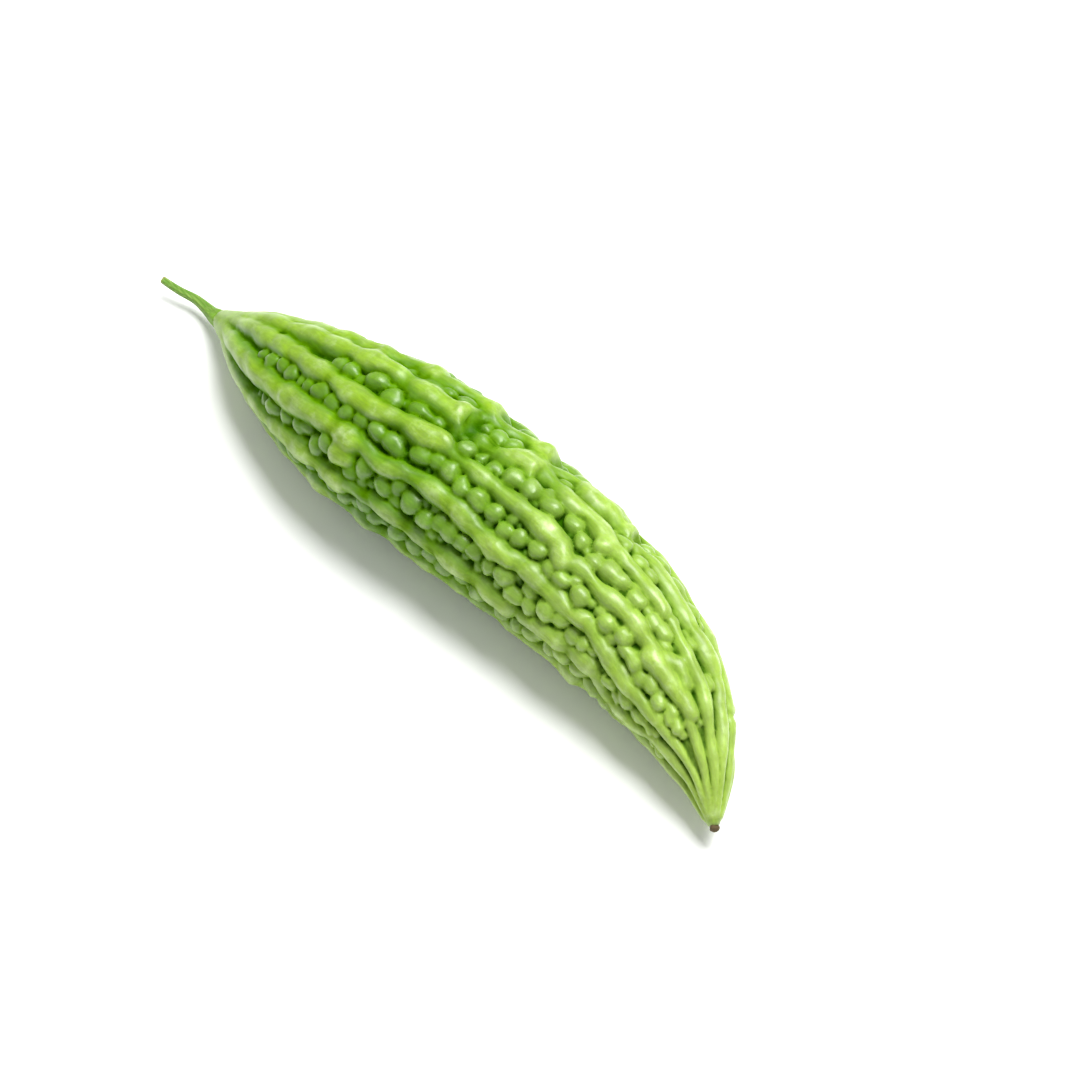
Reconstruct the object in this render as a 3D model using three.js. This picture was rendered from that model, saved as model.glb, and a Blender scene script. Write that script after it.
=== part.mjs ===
// Bitter gourd, as picked: a ribbed and warted fruit, the stem it hung by, and the dried rest of its
// flower. Millimetres, +Z up. It lies on its belly on the plane z = 0, the stem towards -X and the tip
// towards +X.
//
// The relief is laid out on a straight gourd first and then bent along the spine. On the straight gourd
// s is the distance along the chord from the stem end, an angle goes round the axis (0 towards +Y, 90 up),
// and a radius is measured from the axis.

import * as THREE from 'three';
import { ConvexHull } from 'three/addons/math/ConvexHull.js';

// Driving dimensions

const LENGTH = 235; // chord of the fruit, from the stem end to the tip
const ORIGIN_S = 106; // the origin lies under the middle of the whole part
const ORIGIN_BOW = 10;

// The spine: s, sideways bow towards +Y, height over the table, radius out to the crests of the ribs
const SPINE = [
  [0, 0, 7, 3.0],
  [12, -0.5, 12, 6.7],
  [30, -0.4, 17, 14.3],
  [60, 2.5, 21.5, 22.6],
  [90, 7.6, 24.3, 26.2],
  [120, 12.8, 23.6, 25.3],
  [150, 16.5, 22.3, 24.0],
  [180, 17.5, 20, 20.8],
  [205, 13.9, 17.5, 15.3],
  [222, 7.6, 13.5, 8.9],
  [235, 0, 9, 2.0],
];
const BOW = 1;
const HEIGHT = 2;
const CREST = 3;

// The ribs' cross-section: s, half width, height of the crest over the flesh
const RIB_SIZE = [
  [0, 1.5, 0.5],
  [12, 2.6, 2.0],
  [30, 3.3, 3.3],
  [55, 3.5, 4.1],
  [90, 3.2, 4.6],
  [130, 3.2, 4.5],
  [180, 3.2, 4.0],
  [205, 2.8, 3.0],
  [218, 2.3, 2.1],
  [228, 1.5, 1.2],
  [235, 0.7, 0.3],
];
const HALF_WIDTH = 1;
const RISE = 2;

// Ribs on the crown and flanks. Each is a chain of rope-like ridges: how full the ridge is at its start
// and at its end, as shares of the rib's usual size, how broad it is for its height, and [s, angle] along
// its crest.
const SHOWN_RIBS = [
  // upper flank: saw-tooth wedges
  [
    [1.0, 1.1, 1.4, [[4, 42], [20, 50], [45, 54], [70, 57]]],
    [0.6, 1.35, 1.25, [[73, 56], [80, 48], [88, 47]]],
    [0.6, 1.4, 1.25, [[92, 52], [98, 44], [107, 44]]],
    [0.6, 1.4, 1.2, [[112, 54], [119, 45], [128, 46]]],
    [0.75, 1.25, 1.1, [[132, 54], [137, 47], [146, 50], [151, 44]]],
    [0.9, 1.3, 1.1, [[155, 43], [160, 42]]],
    [0.8, 1.2, 1.0, [[164, 53], [170, 47], [186, 49], [201, 43]]],
    [0.9, 1.0, 1.0, [[205, 43], [213, 49], [222, 57], [233, 60]]],
  ],
  // a broad smooth band by the stem, then blocks
  [
    [1.1, 1.2, 1.35, [[3, 68], [20, 75], [46, 78], [63, 77], [81, 74]]],
    [0.75, 1.35, 1.35, [[84, 74], [95, 75], [104, 73]]],
    [0.75, 1.25, 1.25, [[113, 78], [120, 77], [126, 70], [131, 70]]],
    [0.8, 1.15, 1.1, [[133, 66], [145, 71], [152, 68], [158, 71], [160, 78]]],
    [0.8, 1.0, 1.0, [[162, 73], [172, 71], [183, 72]]],
    [0.8, 0.95, 1.0, [[187, 68], [197, 72], [208, 73], [217, 76], [226, 77], [233, 80]]],
  ],
  // the crown
  [
    [1.0, 1.1, 1.05, [[3, 92], [23, 98], [44, 101], [63, 104], [82, 108], [96, 104], [105, 101]]],
    [0.8, 1.05, 1.0, [[108, 102], [120, 102], [134, 102], [150, 102]]],
    [1.1, 1.1, 1.0, [[153, 107], [155, 110]]],
    [0.8, 1.0, 1.0, [[159, 104], [170, 106], [181, 102], [191, 102]]],
    [0.8, 0.95, 1.0, [[192, 107], [200, 104], [206, 100], [210, 97]]],
    [0.7, 0.85, 1.0, [[192, 102], [195, 92], [199, 86], [201, 91]]],
    [0.8, 0.9, 1.0, [[212, 104], [218, 100], [226, 101], [233, 100]]],
  ],
  // lower flank, with a pointed lump beside the first ridge's end
  [
    [1.0, 1.1, 1.2, [[3, 130], [18, 139], [42, 140], [59, 137], [75, 134], [82, 136]]],
    [1.15, 1.15, 0.8, [[81, 150], [84, 150]]],
    [0.85, 1.05, 1.1, [[86, 134], [93, 138], [104, 132], [121, 132], [130, 136], [137, 137]]],
    [1.0, 1.0, 1.0, [[141, 136], [143, 136]]],
    [0.85, 1.0, 1.0, [[147, 134], [159, 136], [170, 135]]],
    [0.85, 1.0, 1.0, [[172, 133], [182, 138], [190, 144], [203, 144], [207, 141]]],
    [0.8, 0.9, 1.0, [[209, 142], [215, 136], [223, 126], [233, 120]]],
  ],
  // side
  [
    [1.0, 1.1, 1.15, [[4, 165], [27, 178], [44, 178], [62, 171], [82, 171]]],
    [0.85, 1.05, 1.1, [[87, 169], [99, 167], [111, 170], [126, 171], [148, 174]]],
    [0.9, 1.05, 1.0, [[154, 173], [162, 166], [168, 164]]],
    [0.85, 1.0, 1.0, [[171, 164], [182, 162]]],
    [0.85, 1.0, 1.0, [[185, 166], [190, 178], [199, 182], [206, 178]]],
    [0.8, 0.9, 1.0, [[208, 174], [214, 163], [224, 150], [233, 144]]],
  ],
  // just over the edge of the belly
  [
    [1.0, 1.1, 1.15, [[4, 196], [25, 207], [60, 204], [78, 200]]],
    [0.85, 1.05, 1.1, [[82, 202], [100, 199], [128, 202]]],
    [0.85, 1.05, 1.0, [[131, 200], [150, 204], [176, 197]]],
    [0.85, 1.0, 1.0, [[179, 203], [195, 210], [212, 198], [233, 180]]],
  ],
];

// Ribs underneath and on the far side, which run as the others do: [angle of the rib, angle at the tip]
const FAR_RIBS = [[226, 212], [254, 247], [286, 281], [317, 316], [348, 351], [18, 25]];
const FAR_RIDGE = {
  seed: 4409,
  start: 4, // where the ribs begin
  stop: 20, // no ridge begins closer to the tip
  run: 25, // a ridge that ends closer to the tip runs on to its end
  end: 2, // which is this far from the tip
  shortest: 26,
  longest: 54,
  gap: 3.5,
  step: 8,
  wander: 4, // degrees from stop to stop
  offset: 5, // degrees from ridge to ridge
  turn: 50, // the ribs turn towards their places at the tip over this length
  size: [0.88, 1.05, 1.1], // as for the ribs that show
};
const RIDGE_STEP = 4; // longest straight stretch of a ridge

// Swells along a ridge: radians per mm, shift from ridge to ridge, share of its width, share of its height
const ROPE_WAVES = [[0.27, 1.7, 0.10, 0.07], [0.49, 2.9, 0.09, 0.05]];
const CALM = { from: 30, over: 45, least: 0.15 }; // the swells are slight by the stem and grow from there

// Warts, which grow where the ribs leave room
const WARTS = {
  seed: 20011,
  start: 15,
  end: 214,
  darts: 9000,
  smallest: 2.5, // radii, before share
  largest: 3.3,
  share: [[16, 0.45], [30, 0.72], [55, 0.9], [105, 1.0], [165, 0.93], [195, 0.78], [212, 0.55], [235, 0.4]],
  oval: [[0, 0.1], [140, 0.12], [185, 0.35], [215, 0.6], [235, 0.6]], // half the straight middle, in radii
  lift: 0.5, // how far a wart's centre stands over the flesh, in radii
  sink: 0.58, // share of a wart's radius that may sink into a rib
  spacing: 0.86, // least way between two warts' centres, as a share of their radii
  reach: 15, // a rib further off along the gourd leaves a wart alone
  lobed: 0.4, // share of the warts that bud a second lobe
  lobeStep: 1.25, // way to the second lobe, in radii
  lobeRadius: [0.6, 0.95], // its radius, as a share of the first one's
};

// Blends where forms meet, in mm
const RIB_BLEND = 1.2;
const WART_BLEND = 0.35;

// Spacing of the surface points
const SHOULDER = 0.72; // of a ridge's half width
const FOOT = 1.15; // of a ridge's half width
const RIDGE_END = [0.75, 1.2]; // of a ridge's half width, past its last ball
const WART_TOP_GAP = 0.1;
const WART_RING = 0.66; // of the wart's radius
const WART_RING_GAP = 0.79;
const WART_FOOT = 1.12; // of the wart's radius
const WART_CLEAR = 1.02; // of the wart's radius
const RIB_CLEAR = 0.12; // of the wart's radius
const WART_SIDES = 6;
const CLOSEST = 1.05;
const FILL_SEED = 733;
const FILL_GAP = 2.7;
const FILL_DARTS = 60000;
const FULL_GAP_RADIUS = 20; // where the gourd is thinner, the points come closer together
const LEAST_GAP = 0.3; // but not below this share
const END_MARGIN = 0.4;
const END_SIDES = 12;

const STEM = {
  // s, bow, height, radius, from the cut end to the face against the fruit
  route: [
    [-24.5, -4.6, 6.9, 1.4],
    [-22, -3.8, 6.3, 1.25],
    [-18, -2.5, 5.7, 1.25],
    [-12.5, -0.5, 5.3, 1.35],
    [-7.5, 0.1, 5.1, 1.55],
    [-3.5, 0.1, 5.5, 2.1],
    [-0.4, 0, 6.8, 2.8],
  ],
  rings: 18,
  sides: 15,
  angles: 5, // it is five-angled
  depth: 0.09, // of the radius
};

const BLOSSOM_END = {
  route: [
    [235.3, -0.2, 8.9, 1.5],
    [235.9, -0.55, 8.65, 1.7],
    [236.5, -0.9, 8.45, 1.25],
    [236.9, -1.1, 8.35, 0.7],
  ],
  rings: 6,
  sides: 9,
  angles: 3,
  depth: 0.16,
};

const SKIN_GREEN = 0x8cc63f;
const STEM_GREEN = 0x7aa03c;
const DRY_BROWN = 0x7a5a34;

// Numbers

const rad = THREE.MathUtils.degToRad;

// The same draws on every run: the minimal standard generator
function dice(seed) {
  let state = seed;
  return () => {
    state = (state * 16807) % 2147483647;
    return state / 2147483647;
  };
}

// One column of a table at s: a cubic through its rows, with slopes taken from their neighbours
function along(table, column, s) {
  const last = table.length - 1;
  let i = 0;
  while (i < last - 1 && s > table[i + 1][0]) i += 1;
  const slope = (k) => {
    const a = table[Math.max(k - 1, 0)];
    const b = table[Math.min(k + 1, last)];
    return (b[column] - a[column]) / (b[0] - a[0]);
  };
  const step = table[i + 1][0] - table[i][0];
  const t = (s - table[i][0]) / step;
  const rise = table[i + 1][column] - table[i][column];
  const start = slope(i) * step - rise;
  const end = -slope(i + 1) * step + rise;
  return table[i][column] + t * rise + t * (1 - t) * ((1 - t) * start + t * end);
}

function smoothMin(a, b, blend) {
  const h = Math.max(blend - Math.abs(a - b), 0) / blend;
  return Math.min(a, b) - (h * h * blend) / 4;
}

// The straight gourd

function fleshRadius(s) {
  return along(SPINE, CREST, s) - along(RIB_SIZE, RISE, s);
}

function straight(s, angle, radius) {
  return new THREE.Vector3(s, radius * Math.cos(rad(angle)), radius * Math.sin(rad(angle)));
}

// Bends a place on the straight gourd into the part's own frame
function spinePoint(s) {
  return new THREE.Vector3(s - ORIGIN_S, along(SPINE, BOW, s) - ORIGIN_BOW, along(SPINE, HEIGHT, s));
}

function bend(s, angle, radius) {
  const reach = 0.1;
  const tangent = spinePoint(s + reach).sub(spinePoint(s - reach)).normalize();
  const side = new THREE.Vector3(-tangent.y, tangent.x, 0).normalize();
  const up = new THREE.Vector3().crossVectors(tangent, side);
  return spinePoint(s)
    .addScaledVector(side, radius * Math.cos(rad(angle)))
    .addScaledVector(up, radius * Math.sin(rad(angle)));
}

// Ribs

function farRib([angle, tipAngle], draw) {
  const { start, stop, run, end: last, shortest, longest, gap } = FAR_RIDGE;
  const { step, wander, offset, turn, size } = FAR_RIDGE;
  const chain = [];
  let from = start;
  while (from < LENGTH - stop) {
    const length = THREE.MathUtils.lerp(shortest, longest, draw());
    const aside = offset * (draw() - 0.5);
    const to = from + length > LENGTH - run ? LENGTH - last : from + length;
    const stops = Math.max(2, Math.round((to - from) / step));
    const route = [];
    for (let i = 0; i <= stops; i += 1) {
      const s = THREE.MathUtils.lerp(from, to, i / stops);
      const turned = (tipAngle - angle) * THREE.MathUtils.smoothstep(s, LENGTH - turn, LENGTH);
      route.push([s, angle + turned + aside + wander * (draw() - 0.5)]);
    }
    chain.push([...size, route]);
    from = to + gap;
  }
  return chain;
}

// A ridge becomes a row of balls under its crest, closer together than RIDGE_STEP
function ridgeBalls([from, to, broad, route], number) {
  const [first, firstAngle] = route[0];
  const [last, lastAngle] = route[route.length - 1];
  const turn = rad(lastAngle - firstAngle) * fleshRadius((first + last) / 2);
  const pieces = Math.max(1, Math.ceil(Math.hypot(last - first, turn) / RIDGE_STEP));
  return Array.from({ length: pieces + 1 }, (_, i) => {
    const s = THREE.MathUtils.lerp(first, last, i / pieces);
    const angle = along(route, 1, s);
    const full = THREE.MathUtils.lerp(from, to, (s - first) / Math.max(last - first, 1));
    const calm = THREE.MathUtils.clamp((s - CALM.from) / CALM.over, CALM.least, 1);
    let wide = full * broad;
    let high = full;
    for (const [rate, phase, wideShare, highShare] of ROPE_WAVES) {
      const wave = calm * Math.sin(rate * s + phase * number);
      wide *= 1 + wideShare * wave;
      high *= 1 + highShare * wave;
    }
    const radius = along(RIB_SIZE, HALF_WIDTH, s) * wide;
    const crest = fleshRadius(s) + along(RIB_SIZE, RISE, s) * high;
    return { s, angle, radius, centre: straight(s, angle, crest - radius) };
  });
}

const farDraw = dice(FAR_RIDGE.seed);
const ridges = [...SHOWN_RIBS, ...FAR_RIBS.map((rib) => farRib(rib, farDraw))].flat();
const ropes = ridges.map(ridgeBalls);

// Distance from a point to a rounded bar between two balls
const toPoint = new THREE.Vector3();
const bar = new THREE.Vector3();
function barDistance(point, a, b) {
  bar.subVectors(b.centre, a.centre);
  toPoint.subVectors(point, a.centre);
  const t = THREE.MathUtils.clamp(toPoint.dot(bar) / Math.max(bar.lengthSq(), 1e-9), 0, 1);
  toPoint.addScaledVector(bar, -t);
  return toPoint.length() - THREE.MathUtils.lerp(a.radius, b.radius, t);
}

function ropeDistance(point, balls) {
  let nearest = Infinity;
  for (let i = 0; i < balls.length - 1; i += 1) {
    nearest = Math.min(nearest, barDistance(point, balls[i], balls[i + 1]));
  }
  return nearest;
}

// Warts

function wartAt(s, angle, radius) {
  const half = radius * along(WARTS.oval, 1, s);
  const depth = fleshRadius(s) + radius * WARTS.lift;
  const ends = [-half, half].map((ds) => ({ radius, centre: straight(s + ds, angle, depth) }));
  return { s, angle, radius, half, centre: straight(s, angle, depth), ends };
}

// The ridges that come near s
function nearRopes(s) {
  return ropes.filter(
    (balls) => balls[0].s < s + WARTS.reach && balls[balls.length - 1].s > s - WARTS.reach,
  );
}

// The largest radius that a wart at a place may have, between the ribs and the warts that are there
function roomFor({ s, centre }, others) {
  const apart = Math.min(...nearRopes(s).map((balls) => ropeDistance(centre, balls)));
  let room = apart / (1 - WARTS.sink);
  for (const other of others) {
    room = Math.min(room, centre.distanceTo(other.centre) / WARTS.spacing - other.radius);
  }
  return room;
}

// Warts are thrown at random. Each swells until it meets a rib or a wart, and stays if it grew large
// enough. Some then bud a second lobe.
function growWarts() {
  const { seed, start, end, darts, smallest, largest, share, lobed, lobeStep, lobeRadius } = WARTS;
  const draw = dice(seed);
  const grown = [];
  for (let i = 0; i < darts; i += 1) {
    const s = THREE.MathUtils.lerp(start, end, draw());
    const angle = 360 * draw();
    const size = draw();
    const buds = draw() < lobed;
    const lean = 2 * Math.PI * draw();
    const lobeSize = draw();
    const here = along(share, 1, s);
    const wish = here * THREE.MathUtils.lerp(smallest, largest, size);
    const radius = Math.min(wish, roomFor(wartAt(s, angle, wish), grown));
    if (radius < here * smallest) continue;
    const others = [...grown];
    grown.push(wartAt(s, angle, radius));
    if (!buds) continue;
    const step = lobeStep * radius;
    const lobeS = s + step * Math.cos(lean);
    const lobeAngle = angle + THREE.MathUtils.radToDeg((step * Math.sin(lean)) / fleshRadius(s));
    const lobeWish = radius * THREE.MathUtils.lerp(...lobeRadius, lobeSize);
    const lobe = Math.min(lobeWish, roomFor(wartAt(lobeS, lobeAngle, lobeWish), others));
    if (lobe > radius * lobeRadius[0]) grown.push(wartAt(lobeS, lobeAngle, lobe));
  }
  return grown;
}

const warts = growWarts();

// Relief: the distance to the skin of the straight gourd, below zero inside it

// The relief is looked up in slices along the gourd, each with what reaches into it
const SLICE = 6;
const REACH = 12;
const HIGHEST = 6; // nothing stands further out than this from the crests' usual radius
const RAY_STEPS = 200;
const RAY_SHARE = 0.9; // of the distance left, taken at each step
const CLOSE_ENOUGH = 0.01;
const slices = Array.from({ length: Math.ceil(LENGTH / SLICE) + 1 }, (_, i) => {
  const near = ({ s }) => Math.abs(s - (i + 0.5) * SLICE) < SLICE / 2 + REACH;
  return {
    ropes: ropes.map((balls) => balls.filter(near)).filter((balls) => balls.length > 1),
    warts: warts.filter(near),
  };
});

function skinDistance(s, angle, radius) {
  const point = straight(s, angle, radius);
  const slice = slices[THREE.MathUtils.clamp(Math.floor(s / SLICE), 0, slices.length - 1)];
  const steepness = fleshRadius(s + 0.5) - fleshRadius(s - 0.5);
  let distance = (radius - fleshRadius(s)) / Math.hypot(1, steepness);
  for (const balls of slice.ropes) distance = smoothMin(distance, ropeDistance(point, balls), RIB_BLEND);
  for (const { ends } of slice.warts) {
    distance = smoothMin(distance, barDistance(point, ends[0], ends[1]), WART_BLEND);
  }
  return distance;
}

// Radius of the skin at a place, found from outside along the ray from the axis
function skinRadius(s, angle) {
  let radius = along(SPINE, CREST, s) + HIGHEST;
  for (let step = 0; step < RAY_STEPS; step += 1) {
    const distance = skinDistance(s, angle, radius);
    if (distance < CLOSE_ENOUGH) break;
    radius -= distance * RAY_SHARE;
  }
  return radius;
}

// Surface points: where the crests, shoulders and feet of the ribs, the warts and the ground between are

const points = [];
const cells = new Map();
const CELL = 4;

function cellKey(p) {
  return `${Math.floor(p.x / CELL)},${Math.floor(p.y / CELL)},${Math.floor(p.z / CELL)}`;
}

function roomAt(place, gap) {
  for (let i = -1; i <= 1; i += 1) {
    for (let j = -1; j <= 1; j += 1) {
      for (let k = -1; k <= 1; k += 1) {
        const key = cellKey(new THREE.Vector3(place.x + i * CELL, place.y + j * CELL, place.z + k * CELL));
        if ((cells.get(key) ?? []).some((other) => other.distanceTo(place) < gap)) return false;
      }
    }
  }
  return true;
}

function addPoint(s, angle, gap) {
  if (s < END_MARGIN || s > LENGTH - END_MARGIN) return;
  const ground = straight(s, angle, fleshRadius(s));
  if (!roomAt(ground, gap)) return;
  const key = cellKey(ground);
  if (!cells.has(key)) cells.set(key, []);
  cells.get(key).push(ground);
  points.push({ s, angle, radius: skinRadius(s, angle) });
}

// The gap that keeps points apart, closer together towards the thin ends
function gapAt(s, gap) {
  return gap * THREE.MathUtils.clamp(along(SPINE, CREST, s) / FULL_GAP_RADIUS, LEAST_GAP, 1);
}

// Whether a place on the flesh lies outside a wart
function clearOf(wart, s, angle) {
  if (Math.abs(wart.s - s) > REACH) return true;
  const place = straight(s, angle, fleshRadius(wart.s));
  return wart.ends.every((end) => place.distanceTo(end.centre) > wart.radius * WART_CLEAR);
}

// Whether a place at a wart's height stands free of the ribs
function clearOfRibs(s, angle, wart) {
  const place = straight(s, angle, fleshRadius(wart.s) + wart.radius * WARTS.lift);
  return nearRopes(s).every((balls) => ropeDistance(place, balls) > RIB_CLEAR * wart.radius);
}

function addWartRing(wart, ring, gap) {
  const { s, radius, half } = wart;
  for (let i = 0; i < WART_SIDES; i += 1) {
    const around = (2 * Math.PI * i) / WART_SIDES;
    const ds = (ring * radius + half) * Math.cos(around);
    const turn = THREE.MathUtils.radToDeg((ring * radius * Math.sin(around)) / fleshRadius(s));
    const angle = wart.angle + turn;
    const free = clearOfRibs(s + ds, angle, wart);
    if (free && (ring < 1 || warts.every((other) => clearOf(other, s + ds, angle)))) {
      addPoint(s + ds, angle, gap);
    }
  }
}

function addRopePoints(balls, shares) {
  for (const { s, angle, radius } of balls) {
    for (const share of shares) {
      const turn = THREE.MathUtils.radToDeg((share * radius) / (fleshRadius(s) + 1));
      addPoint(s, angle + turn, gapAt(s, CLOSEST));
    }
  }
}

function addRopeEnd(balls) {
  const { s, angle, radius } = balls[balls.length - 1];
  for (const share of RIDGE_END) addPoint(s + radius * share, angle, gapAt(s, CLOSEST));
}

for (const balls of ropes) addRopePoints(balls, [0, -SHOULDER, SHOULDER]);
for (const { s, angle } of warts) addPoint(s, angle, WART_TOP_GAP);
for (const wart of warts) addWartRing(wart, WART_RING, gapAt(wart.s, WART_RING_GAP));
ropes.forEach(addRopeEnd);
for (const wart of warts) addWartRing(wart, WART_FOOT, gapAt(wart.s, CLOSEST));
for (const balls of ropes) addRopePoints(balls, [-FOOT, FOOT]);

const fillDraw = dice(FILL_SEED);
for (let i = 0; i < FILL_DARTS; i += 1) {
  const s = LENGTH * fillDraw();
  addPoint(s, 360 * fillDraw(), gapAt(s, FILL_GAP));
}
for (const s of [0, LENGTH]) {
  for (let i = 0; i < END_SIDES; i += 1) {
    const angle = (360 * i) / END_SIDES;
    points.push({ s, angle, radius: skinRadius(s, angle) });
  }
}

// Skin: the points are spread over a ball by a map that keeps angles, and the ball's hull joins them up

function ballLatitudes() {
  const rows = [0];
  for (let s = 0; s < LENGTH; s += 1) {
    const slope = fleshRadius(s + 1) - fleshRadius(s);
    rows.push(rows[rows.length - 1] + Math.hypot(1, slope) / fleshRadius(s + 0.5));
  }
  const middle = rows[LENGTH] / 2;
  return (s) => {
    const i = Math.min(Math.floor(s), LENGTH - 1);
    const run = THREE.MathUtils.lerp(rows[i], rows[i + 1], s - i);
    return 2 * Math.atan(Math.exp(run - middle)) - Math.PI / 2;
  };
}

function fruitGeometry() {
  const latitude = ballLatitudes();
  const onBall = points.map(({ s, angle }) => {
    const lat = latitude(s);
    return new THREE.Vector3(
      Math.sin(lat),
      Math.cos(lat) * Math.cos(rad(angle)),
      Math.cos(lat) * Math.sin(rad(angle)),
    );
  });
  const places = points.map(({ s, angle, radius }) => bend(s, angle, radius));
  onBall.push(new THREE.Vector3(-1, 0, 0), new THREE.Vector3(1, 0, 0));
  places.push(bend(0, 0, 0), bend(LENGTH, 0, 0));
  for (const place of places) place.z = Math.max(place.z, 0); // the belly is pressed flat where it rests

  const index = [];
  const number = new Map(onBall.map((point, i) => [point, i]));
  for (const face of new ConvexHull().setFromPoints(onBall).faces) {
    let edge = face.edge;
    do {
      index.push(number.get(edge.head().point));
      edge = edge.next;
    } while (edge !== face.edge);
  }
  const geometry = new THREE.BufferGeometry().setFromPoints(places);
  geometry.setIndex(index);
  return geometry;
}

// A closed skin over rings that follow a route of [s, bow, height, radius]
function swept({ route, rings, sides, angles, depth }) {
  const table = route.map((row, i) => [i, ...row]);
  const at = (u) => new THREE.Vector3(
    along(table, 1, u) - ORIGIN_S,
    along(table, 2, u) - ORIGIN_BOW,
    along(table, 3, u),
  );
  const places = [];
  const index = [];
  for (let i = 0; i <= rings; i += 1) {
    const u = ((route.length - 1) * i) / rings;
    const tangent = at(u + 0.01).sub(at(u - 0.01)).normalize();
    const side = new THREE.Vector3(-tangent.y, tangent.x, 0).normalize();
    const up = new THREE.Vector3().crossVectors(tangent, side);
    for (let j = 0; j < sides; j += 1) {
      const turn = (2 * Math.PI * j) / sides;
      const radius = along(table, 4, u) * (1 + depth * Math.cos(angles * turn));
      const place = at(u).addScaledVector(side, radius * Math.cos(turn));
      places.push(place.addScaledVector(up, radius * Math.sin(turn)));
      const next = (j + 1) % sides;
      if (i < rings) {
        const [a, b, c, d] = [i * sides + j, i * sides + next, (i + 1) * sides + j, (i + 1) * sides + next];
        index.push(a, b, c, b, d, c);
      }
    }
  }
  const startCentre = places.push(at(0)) - 1;
  const endCentre = places.push(at(route.length - 1)) - 1;
  for (let j = 0; j < sides; j += 1) {
    const next = (j + 1) % sides;
    index.push(startCentre, next, j, endCentre, rings * sides + j, rings * sides + next);
  }
  const geometry = new THREE.BufferGeometry().setFromPoints(places);
  geometry.setIndex(index);
  return geometry;
}

// Pieces

function piece(name, geometry, color, roughness) {
  const material = new THREE.MeshStandardMaterial({ color, roughness, metalness: 0 });
  const mesh = new THREE.Mesh(geometry, material);
  mesh.name = name;
  return mesh;
}

const gourd = new THREE.Group();
gourd.add(piece('fruit', fruitGeometry(), SKIN_GREEN, 0.4));
gourd.add(piece('stem', swept(STEM), STEM_GREEN, 0.6));
gourd.add(piece('blossom_end', swept(BLOSSOM_END), DRY_BROWN, 0.9));

export default gourd;
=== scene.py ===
import math

import bpy
import numpy as np
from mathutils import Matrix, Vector, noise


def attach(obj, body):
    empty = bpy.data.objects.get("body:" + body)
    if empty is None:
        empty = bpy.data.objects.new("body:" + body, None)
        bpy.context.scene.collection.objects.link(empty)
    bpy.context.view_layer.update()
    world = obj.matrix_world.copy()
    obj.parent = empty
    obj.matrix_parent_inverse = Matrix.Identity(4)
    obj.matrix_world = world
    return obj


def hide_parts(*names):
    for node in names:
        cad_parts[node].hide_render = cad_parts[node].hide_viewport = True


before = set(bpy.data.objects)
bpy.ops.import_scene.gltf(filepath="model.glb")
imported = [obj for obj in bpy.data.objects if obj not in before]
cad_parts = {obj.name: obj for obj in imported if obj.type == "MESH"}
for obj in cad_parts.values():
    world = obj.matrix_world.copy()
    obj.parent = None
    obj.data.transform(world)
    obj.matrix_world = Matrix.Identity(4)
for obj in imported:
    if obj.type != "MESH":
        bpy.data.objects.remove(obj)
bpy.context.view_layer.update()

# Camera
# A long lens that looks down on the gourd from the side that its bow turns away from. The stem is
# at the upper left of the picture and the tip at the lower right.

MM = 0.001
LENS_MM = 100
SENSOR_MM = 36
AZIMUTH = math.radians(50.9)
ELEVATION = math.radians(55)
DISTANCE_MM = 866.7
TARGET_MM = (32.3, 6.5, 25.0)

camera_data = bpy.data.cameras.new("camera")
camera_data.lens = LENS_MM
camera_data.sensor_width = SENSOR_MM
camera = bpy.data.objects.new("camera", camera_data)
bpy.context.scene.collection.objects.link(camera)
away = Vector((
    math.sin(AZIMUTH) * math.cos(ELEVATION),
    -math.cos(AZIMUTH) * math.cos(ELEVATION),
    math.sin(ELEVATION),
))
camera.location = (Vector(TARGET_MM) + away * DISTANCE_MM) * MM
camera.rotation_euler = away.to_track_quat("Z", "Y").to_euler()
bpy.context.scene.camera = camera

# Fruit: the flesh, its ribs and its warts
# One grown berry with a thin waxy skin. The skin swells over a dozen broken ribs that run from stem
# to tip, and between them over blunt warts like peas.

# It is laid out straight, as distances from the skin, and then bent. Lengths are in mm. s is the
# distance along the chord from the stem end, and an angle in degrees goes round the axis, 0 towards
# +Y and 90 up.

LENGTH = 235
# The part's origin: its s, and how far to the side of the chord
ORIGIN_S = 106
ORIGIN_BOW = 10

# s, bow towards +Y, height over the table, radius out to the crests of the ribs
SPINE = (
    (0, 0, 7, 3.0),
    (12, -0.5, 12, 6.7),
    (30, -0.4, 17, 14.3),
    (60, 2.5, 21.5, 22.6),
    (90, 7.6, 24.3, 26.2),
    (120, 12.8, 23.6, 25.3),
    (150, 16.5, 22.3, 24.0),
    (180, 17.5, 20, 20.8),
    (205, 13.9, 17.5, 15.3),
    (222, 7.6, 13.5, 8.9),
    (235, 0, 9, 2.0),
)
BOW, HEIGHT, CREST = 1, 2, 3
TANGENT_STEP = 0.1

# s, half width of a rib, height of its crest over the flesh
RIB_SIZE = (
    (0, 1.5, 0.5),
    (12, 2.6, 2.0),
    (30, 3.3, 3.3),
    (55, 3.5, 4.1),
    (90, 3.2, 4.6),
    (130, 3.2, 4.5),
    (180, 3.2, 4.0),
    (205, 2.8, 3.0),
    (218, 2.3, 2.1),
    (228, 1.5, 1.2),
    (235, 0.7, 0.3),
)
HALF_WIDTH, RISE = 1, 2

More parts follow.
